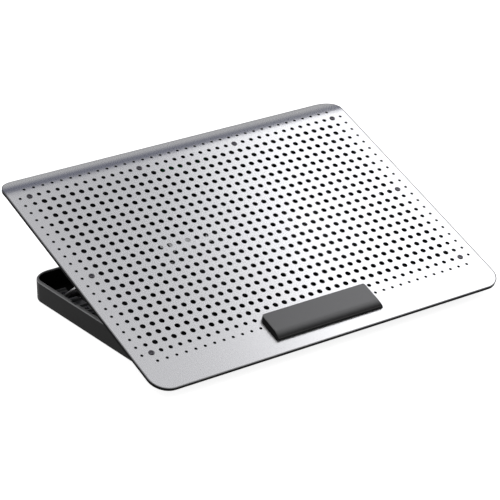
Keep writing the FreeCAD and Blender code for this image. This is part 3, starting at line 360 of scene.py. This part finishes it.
def build_sheet():
    """The perforated sheet: every hole with a rolled-over rim, the rear edge a smooth curve."""
    HX, PX, PY = 190.0, 9.75, 10.05
    BY, BR, END = 259.5, 50.0, math.radians(29.0)
    T = 0.6
    S_END = BY + BR * END
    LIP = BY + BR * math.sin(END)
    CORNER = 18.0
    bm = bmesh.new()
    cache = {}

    def at(x, s, z=0.0):
        key = (round(x, 4), round(s, 4), round(z, 4))
        v = cache.get(key)
        if v is None:
            if s <= BY:
                co = deck(x, s, z)
            else:
                a_ = (s - BY) / BR
                co = deck(x, BY + (BR + z) * math.sin(a_), -BR + (BR + z) * math.cos(a_))
            v = cache[key] = bm.verts.new(co)
        return v

    def face(vs):
        out = []
        for v in vs:
            if v not in out:
                out.append(v)
        if len(out) > 2:
            try:
                bm.faces.new(out)
            except ValueError:
                pass

    screws = {(1, 0), (13, 0), (24, 0), (36, 0), (1, 11), (36, 11), (1, 21), (36, 21)}
    fr = (-1.0, -0.6, -0.2, 0.2, 0.6, 1.0)
    N = 20
    side = []
    for i in range(5):
        side.append((fr[i], -1.0))
    for i in range(5):
        side.append((1.0, fr[i]))
    for i in range(5):
        side.append((-fr[i], 1.0))
    for i in range(5):
        side.append((-1.0, -fr[i]))
    ang0 = math.radians(225.0)
    for v in range(-1, 23):
        for u in range(38):
            cx, cs = (u - 18.5) * PX, (25.3 - v) * PY
            if cs > BY:
                cs = BY + BR * math.asin((cs - BY) / BR)
            s0 = (25.3 - v) * PY - PY / 2
            s1 = s0 + PY
            ring = [at(cx + fx * PX / 2, (s0 + s1) / 2 + fy * PY / 2) for fx, fy in side]
            low = [at(cx + fx * PX / 2, (s0 + s1) / 2 + fy * PY / 2, -T) for fx, fy in side]
            corner = u in (0, 37) and v in (-1, 22)
            if corner or (v >= 21 and 13 <= u <= 24):
                face(ring)
                face(list(reversed(low)))
                continue
            if (u, v) in screws:
                r = 1.4
            else:
                k = min(u, 37 - u, v + 1, 22 - v)
                r = 1.43 if k == 0 else 2.03 if k == 1 else 2.58
            dirs = [(math.cos(ang0 + 2 * math.pi * i / N), math.sin(ang0 + 2 * math.pi * i / N)) for i in range(N)]
            rings = [ring]
            radii = [(r + 0.14, 0.0), (r + 0.045, -0.04), (r, -0.13), (r, -T + 0.02), (r + 0.02, -T)]
            if v == -1:
                radii = [(3.4, 0.0), (2.4, 0.0)] + radii
            for rr, zz in radii:
                rings.append([at(cx + rr * dx, cs + rr * dy, zz) for dx, dy in dirs])
            rings.append(low)
            for ra, rb in zip(rings[:-1], rings[1:]):
                for i in range(N):
                    j = (i + 1) % N
                    face([ra[i], ra[j], rb[j], rb[i]])
    # plain margins: columns left and right, then front and rear strips
    xs = []
    for u in range(38):
        for f in fr[:-1]:
            xs.append((u - 18.5) * PX + f * PX / 2)
    xs.append(18.5 * PX + PX / 2)
    s_lo, s_hi = (25.3 - 22) * PY - PY / 2, (25.3 + 1) * PY + PY / 2
    ss = []
    for v in range(22, -2, -1):
        for f in fr[:-1]:
            ss.append((25.3 - v) * PY + f * PY / 2)
    ss.append(s_hi)
    X0 = xs[-1]
    edge_cols = [X0, 187.6, 189.4, 189.85, HX]

    def z_edge(d):
        """Height of the outer edge's small rounding, d mm in from the edge."""
        e_ = 0.15
        return 0.0 if d >= e_ else -(e_ - math.sqrt(max(0.0, e_ * e_ - (e_ - d) ** 2)))

    def outline(s):
        """Half width of the sheet at arc length s."""
        if s < CORNER:
            return HX - CORNER + math.sqrt(max(0.0, CORNER ** 2 - (CORNER - s) ** 2))
        y = s if s <= BY else BY + BR * math.sin((s - BY) / BR)
        d = y - (LIP - CORNER)
        if d > 0:
            return HX - CORNER + math.sqrt(max(0.0, CORNER ** 2 - d * d))
        return HX

    def grid(rows_s, cols_at):
        """Top and bottom skins over rows of arc length, closed along both outer edges."""
        for sa, sb in zip(rows_s[:-1], rows_s[1:]):
            ca, cb = cols_at(sa), cols_at(sb)
            for (xa0, xa1), (xb0, xb1) in zip(zip(ca[:-1], ca[1:]), zip(cb[:-1], cb[1:])):
                face([at(xa0, sa), at(xa1, sa), at(xb1, sb), at(xb0, sb)])
                face([at(xb0, sb, -T), at(xb1, sb, -T), at(xa1, sa, -T), at(xa0, sa, -T)])

    for sg in (-1, 1):
        cols = sorted(sg * x for x in edge_cols)
        grid(ss, lambda s_, cols=cols: cols)

    def full_cols(s_):
        h = outline(s_)
        base = [-x for x in reversed(edge_cols)] + xs[1:-1] + list(edge_cols)
        k = []
        for x in base:
            if abs(x) > X0 - 1e-6 or abs(x) > h - 6.0:
                # squeeze the outer columns into the rounded corner
                t_ = (abs(x) - 150.0) / (HX - 150.0)
                if t_ > 0:
                    x = math.copysign(150.0 + t_ * (h - 150.0), x)
            elif abs(x) > 150.0:
                t_ = (abs(x) - 150.0) / (HX - 150.0)
                x = math.copysign(150.0 + t_ * (h - 150.0), x)
            k.append(x)
        return k

    front = [0.0]
    for i in range(1, 17):
        front.append(CORNER * (1 - math.cos(math.pi / 2 * i / 16)))
    front += [22.0, 25.0, s_lo]
    grid(front, full_cols)
    rear = [s_hi]
    y_c = LIP - CORNER
    s_c = BY + BR * math.asin((y_c - BY) / BR)
    if s_c > s_hi + 0.05:
        rear.append(s_c)
    for i in range(1, 25):
        y = y_c + CORNER * math.sin(math.pi / 2 * i / 24)
        rear.append(BY + BR * math.asin(min(1.0, (y - BY) / BR)))
    rear[-1] = S_END
    grid(rear, full_cols)
    bmesh.ops.remove_doubles(bm, verts=bm.verts, dist=3e-7)
    # close the cut edge all round
    rim = [e for e in bm.edges if len(e.link_faces) == 1]
    top = {}
    inv = DECK_M.inverted()

    def local(co):
        q = inv @ co
        return q * 1000.0

    def depth(co):
        q = local(co)
        if q.y <= BY:
            return q.z
        return math.hypot(q.y - BY, q.z + BR) - BR

    upper = [e for e in rim if all(depth(v.co) > -T / 2 for v in e.verts)]
    lower = {}
    for e in rim:
        for v in e.verts:
            d = depth(v.co)
            if d < -T / 2:
                q = local(v.co)
                a_ = math.atan2(q.y - BY, q.z + BR) if q.y > BY else 0.0
                s_ = q.y if q.y <= BY else BY + BR * a_
                lower[(round(q.x, 2), round(s_, 2))] = v
    miss = 0
    for e in upper:
        vs = []
        for v in e.verts:
            q = local(v.co)
            a_ = math.atan2(q.y - BY, q.z + BR) if q.y > BY else 0.0
            s_ = q.y if q.y <= BY else BY + BR * a_
            w_ = lower.get((round(q.x, 2), round(s_, 2)))
            if w_ is None:
                for dx in (-0.01, 0.0, 0.01):
                    for ds in (-0.01, 0.0, 0.01):
                        w_ = w_ or lower.get((round(q.x + dx, 2), round(s_ + ds, 2)))
            vs.append(w_)
        if None in vs:
            miss += 1
            continue
        face([e.verts[0], e.verts[1], vs[1], vs[0]])
    print("sheet: open edges left", sum(1 for e in bm.edges if len(e.link_faces) == 1), "missed", miss, "faces", len(bm.faces))
    bmesh.ops.recalc_face_normals(bm, faces=bm.faces)
    # a small rounding along the outer cut edge
    rim_top = [e for e in bm.edges if len(e.link_faces) == 2 and e.calc_face_angle(0.0) > math.radians(60)
               and all(depth(v.co) > -0.01 for v in e.verts)]
    bmesh.ops.bevel(bm, geom=rim_top, offset=0.00016, segments=2, profile=0.5, affect="EDGES", clamp_overlap=True)
    bmesh.ops.triangulate(bm, faces=[f for f in bm.faces if len(f.verts) > 4])
    me = finish_mesh(bm, "v_top_panel", 32.0)
    o = link("v_top_panel", me, M["panel_aluminium"], "deck")
    wn = o.modifiers.new("wn", "WEIGHTED_NORMAL")
    wn.keep_sharp = True
    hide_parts("top_panel")
    return o


build_sheet()
for n, wd, sg in (("stopper_bar", 0.12, 2), ("stopper_cap", 0.18, 2), ("base_tray", 0.35, 2), ("deck_frame", 0.2, 2), ("rear_strip", 0.15, 2), ("fan_cover", 0.3, 2), ("hub_housing", 0.25, 2),
                  ("fan_left_frame", 0.35, 2), ("fan_right_frame", 0.35, 2), ("fan_left_rotor", 0.15, 1), ("fan_right_rotor", 0.15, 1),
                  ("fan_left_stator", 0.15, 1), ("fan_right_stator", 0.15, 1), ("rack_left", 0.25, 2), ("rack_right", 0.25, 2),
                  ("leg_left", 0.3, 2), ("leg_right", 0.3, 2), ("leg_left_foot", 0.15, 2), ("leg_right_foot", 0.15, 2), ("leg_brackets", 0.3, 2),
                  ("usb_shells", 0.2, 2), ("usb_tongues", 0.15, 1), ("switch_body", 0.2, 1), ("switch_knob", 0.15, 1), ("lead_plugs", 0.2, 2),
                  ("hub_board", 0.1, 1), ("hub_chips", 0.15, 2), ("base_feet", 0.2, 2), ("panel_screws", 0.08, 1), ("stopper_screws", 0.08, 1),
                  ("cover_screws", 0.08, 1), ("fan_screws", 0.08, 1), ("hub_screws", 0.08, 1), ("bracket_screws", 0.08, 1), ("rack_screws", 0.08, 1),
                  ("leg_pins", 0.15, 2), ("hinge_pins", 0.2, 2), ("fan_left_shaft", 0, 1), ("fan_right_shaft", 0, 1),
                  ("fan_left_magnet", 0.1, 1), ("fan_right_magnet", 0.1, 1), ("fan_lead_left", 0, 1), ("fan_lead_right", 0, 1)):
    rework(n, wd, sg)


# ------------------------------------------------------------------ stage: floor, light, camera
def area(name, loc, target, size, power, color=(1, 1, 1), size_y=None):
    d = bpy.data.lights.new(name, "AREA")
    d.shape = "RECTANGLE"
    d.size = size
    d.size_y = size_y or size
    d.energy = power
    d.color = color
    o = bpy.data.objects.new(name, d)
    sc.collection.objects.link(o)
    o.location = loc
    o.rotation_euler = (Vector(target) - Vector(loc)).to_track_quat("-Z", "Y").to_euler()
    return o


bm = bmesh.new()
bmesh.ops.create_grid(bm, x_segments=1, y_segments=1, size=12.0)
me = bpy.data.meshes.new("floor")
bm.to_mesh(me)
bm.free()
floor = bpy.data.objects.new("floor", me)
sc.collection.objects.link(floor)
fm, fnt, fb = new_mat("floor_white")
fb.inputs["Base Color"].default_value = (0.93, 0.93, 0.93, 1)
fb.inputs["Roughness"].default_value = 0.9
fb.inputs["Specular IOR Level"].default_value = 0.1
fb.inputs["Emission Color"].default_value = (1, 1, 1, 1)
fb.inputs["Emission Strength"].default_value = 0.86
# painted shadow: the floor's glow is masked off in two soft-edged patches, one under the tray and one reaching behind
# it
ftc = node(fnt, "ShaderNodeTexCoord")
fsep = node(fnt, "ShaderNodeSeparateXYZ")
fnt.links.new(ftc.outputs["Object"], fsep.inputs[0])
areas = []
for rect in ((("X", 0.0, 0.138, 0.158), ("Y", 0.015, 0.095, 0.118)), (("X", 0.035, 0.060, 0.130), ("Y", 0.085, 0.090, 0.160))):
    mask = []
    for axis, mid, half_in, half_out in rect:
        sh = node(fnt, "ShaderNodeMath", operation="SUBTRACT")
        sh.inputs[1].default_value = mid
        fnt.links.new(fsep.outputs[axis], sh.inputs[0])
        ab = node(fnt, "ShaderNodeMath", operation="ABSOLUTE")
        fnt.links.new(sh.outputs[0], ab.inputs[0])
        mr = node(fnt, "ShaderNodeMapRange")
        mr.interpolation_type = "SMOOTHSTEP"
        mr.inputs["From Min"].default_value = half_in
        mr.inputs["From Max"].default_value = half_out
        fnt.links.new(ab.outputs[0], mr.inputs["Value"])
        mask.append(mr)
    one = node(fnt, "ShaderNodeMath", operation="MAXIMUM")
    fnt.links.new(mask[0].outputs["Result"], one.inputs[0])
    fnt.links.new(mask[1].outputs["Result"], one.inputs[1])
    areas.append(one)
mx = node(fnt, "ShaderNodeMath", operation="MINIMUM")
fnt.links.new(areas[0].outputs[0], mx.inputs[0])
fnt.links.new(areas[1].outputs[0], mx.inputs[1])
ml = node(fnt, "ShaderNodeMath", operation="MULTIPLY")
ml.inputs[1].default_value = 0.86
fnt.links.new(mx.outputs[0], ml.inputs[0])
fnt.links.new(ml.outputs[0], fb.inputs["Emission Strength"])
me.materials.append(fm)

# studio surround: soft grey, with a dark slate flag low behind the object and pale walls under it
w = bpy.data.worlds.new("studio")
sc.world = w
w.use_nodes = True
nt = w.node_tree
bg = nt.nodes["Background"]
tc = nt.nodes.new("ShaderNodeTexCoord")
sep = nt.nodes.new("ShaderNodeSeparateXYZ")
nt.links.new(tc.outputs["Generated"], sep.inputs[0])
ramp = nt.nodes.new("ShaderNodeValToRGB")
cr = ramp.color_ramp
stops = [(0.50, (0.30, 0.30, 0.305)), (0.62, (0.36, 0.36, 0.365)), (0.68, (0.50, 0.50, 0.502)), (0.73, (0.49, 0.49, 0.492)), (0.762, (0.33, 0.332, 0.34)),
         (0.785, (0.085, 0.095, 0.140)), (0.803, (0.003, 0.010, 0.062)), (0.857, (0.002, 0.009, 0.060)), (0.872, (0.10, 0.105, 0.135)), (0.890, (0.52, 0.52, 0.53)), (0.95, (0.61, 0.61, 0.615)), (1.0, (0.66, 0.66, 0.66))]
cr.elements[0].position, cr.elements[0].color = stops[0][0], stops[0][1] + (1,)
cr.elements[1].position, cr.elements[1].color = stops[-1][0], stops[-1][1] + (1,)
for pos, col in stops[1:-1]:
    e = cr.elements.new(pos)
    e.color = col + (1,)
half = nt.nodes.new("ShaderNodeMath")
half.operation = "MULTIPLY_ADD"
half.inputs[1].default_value = 0.5
half.inputs[2].default_value = 0.5
nt.links.new(sep.outputs["Z"], half.inputs[0])
nt.links.new(half.outputs[0], ramp.inputs["Fac"])
dot = nt.nodes.new("ShaderNodeVectorMath")
dot.operation = "DOT_PRODUCT"
dot.inputs[1].default_value = (0.577, 0.816, 0.0)
nt.links.new(tc.outputs["Generated"], dot.inputs[0])
side = nt.nodes.new("ShaderNodeMapRange")
side.interpolation_type = "SMOOTHSTEP"
side.inputs["From Min"].default_value = -0.15
side.inputs["From Max"].default_value = 0.30
nt.links.new(dot.outputs["Value"], side.inputs["Value"])
mixc = nt.nodes.new("ShaderNodeMix")
mixc.data_type = "RGBA"
mixc.inputs["A"].default_value = (0.42, 0.42, 0.42, 1)
nt.links.new(side.outputs["Result"], mixc.inputs["Factor"])
nt.links.new(ramp.outputs["Color"], mixc.inputs["B"])
nt.links.new(mixc.outputs["Result"], bg.inputs["Color"])
bg.inputs["Strength"].default_value = 1.0

# softbox to the upper right, whose near edge grades the sheet from grey to white
area("softbox_right", (1.28, 0.05, 1.05), (1.28, 0.05, 0.0), 1.24, 5.3, size_y=1.15)
# weak overhead box behind the camera's left shoulder, for the plastic parts
area("softbox_top", (-1.6, -0.3, 2.3), (-0.2, -0.1, 0.0), 1.2, 7.0, size_y=1.2)

cam_d = bpy.data.cameras.new("camera")
cam_d.sensor_width = 36.0
cam_d.lens = 163.95
cam_d.clip_start = 0.05
cam_d.clip_end = 60.0
cam = bpy.data.objects.new("camera", cam_d)
sc.collection.objects.link(cam)
right = Vector((0.81415224, -0.58056837, -0.00982301))
up = Vector((0.23557631, 0.31480036, 0.91945883))
back = Vector((-0.53071643, -0.75089354, 0.39306357))
rot = Matrix((right, up, back)).transposed().to_4x4()
cam.matrix_world = Matrix.Translation((-1.10438, -1.42710 - CY, 0.85233 + FRONT_H)) @ rot
sc.camera = cam
sc.view_settings.view_transform = "Standard"
